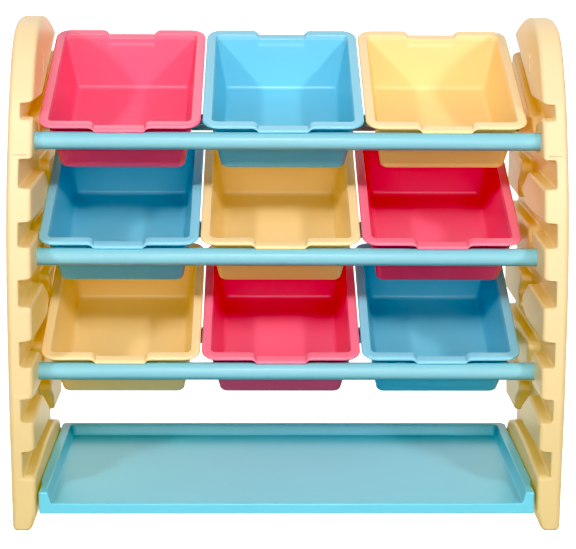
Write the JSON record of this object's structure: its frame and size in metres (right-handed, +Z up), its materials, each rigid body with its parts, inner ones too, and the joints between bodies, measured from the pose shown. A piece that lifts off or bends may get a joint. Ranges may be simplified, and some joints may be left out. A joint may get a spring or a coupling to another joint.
{
  "type": "toy storage organizer with bins",
  "caption": "Low open organizer: two moulded side panels carry rows of leaning lift-out bins on round rails, with a flat tray at the foot.",
  "frame": {"origin": "middle of the footprint on the floor", "axes": "+X to the right seen from the front, +Y from the front towards the back, +Z up; the bins lean down towards -Y"},
  "size_m": [0.676, 0.3423, 0.6142],
  "materials": {
    "panel_cream": "satin moulded polyethylene, pale cream yellow",
    "rail_blue": "smooth satin tube, pale turquoise",
    "plug_plastic": "natural moulded plastic",
    "screw_steel": "zinc plated",
    "tray_blue": "satin moulded plastic, turquoise",
    "bin_pink": "satin moulded polypropylene, coral pink",
    "bin_blue": "satin moulded polypropylene, sky blue",
    "bin_yellow": "satin moulded polypropylene, pale yellow"
  },
  "bodies": {
    "frame": {"left_side_panel": "panel_cream", "right_side_panel": "panel_cream", "front_rail_top": "rail_blue", "front_rail_middle": "rail_blue", "front_rail_bottom": "rail_blue", "rear_rail_top": "rail_blue", "rear_rail_middle": "rail_blue", "rear_rail_bottom": "rail_blue", "left_rail_plugs": "plug_plastic", "right_rail_plugs": "plug_plastic", "left_rail_screws": "screw_steel", "right_rail_screws": "screw_steel", "bottom_tray": "tray_blue", "left_tray_screws": "screw_steel", "right_tray_screws": "screw_steel"},
    "bin_top_left": {"bin_top_left": "bin_pink"},
    "bin_top_center": {"bin_top_center": "bin_blue"},
    "bin_top_right": {"bin_top_right": "bin_yellow"},
    "bin_middle_left": {"bin_middle_left": "bin_blue"},
    "bin_middle_center": {"bin_middle_center": "bin_yellow"},
    "bin_middle_right": {"bin_middle_right": "bin_pink"},
    "bin_bottom_left": {"bin_bottom_left": "bin_yellow"},
    "bin_bottom_center": {"bin_bottom_center": "bin_pink"},
    "bin_bottom_right": {"bin_bottom_right": "bin_blue"}
  },
  "joints": [
    {"name": "lift_bin_top_left", "type": "slide", "parent": "frame", "child": "bin_top_left", "axis": [0, -0.3799, 0.925], "range_m": [0, 0.12]},
    {"name": "lift_bin_top_center", "type": "slide", "parent": "frame", "child": "bin_top_center", "axis": [0, -0.3799, 0.925], "range_m": [0, 0.12]},
    {"name": "lift_bin_top_right", "type": "slide", "parent": "frame", "child": "bin_top_right", "axis": [0, -0.3799, 0.925], "range_m": [0, 0.12]},
    {"name": "lift_bin_middle_left", "type": "slide", "parent": "frame", "child": "bin_middle_left", "axis": [0, -0.3799, 0.925], "range_m": [0, 0.025]},
    {"name": "lift_bin_middle_center", "type": "slide", "parent": "frame", "child": "bin_middle_center", "axis": [0, -0.3799, 0.925], "range_m": [0, 0.025]},
    {"name": "lift_bin_middle_right", "type": "slide", "parent": "frame", "child": "bin_middle_right", "axis": [0, -0.3799, 0.925], "range_m": [0, 0.025]},
    {"name": "lift_bin_bottom_left", "type": "slide", "parent": "frame", "child": "bin_bottom_left", "axis": [0, -0.3799, 0.925], "range_m": [0, 0.025]},
    {"name": "lift_bin_bottom_center", "type": "slide", "parent": "frame", "child": "bin_bottom_center", "axis": [0, -0.3799, 0.925], "range_m": [0, 0.025]},
    {"name": "lift_bin_bottom_right", "type": "slide", "parent": "frame", "child": "bin_bottom_right", "axis": [0, -0.3799, 0.925], "range_m": [0, 0.025]}
  ]
}
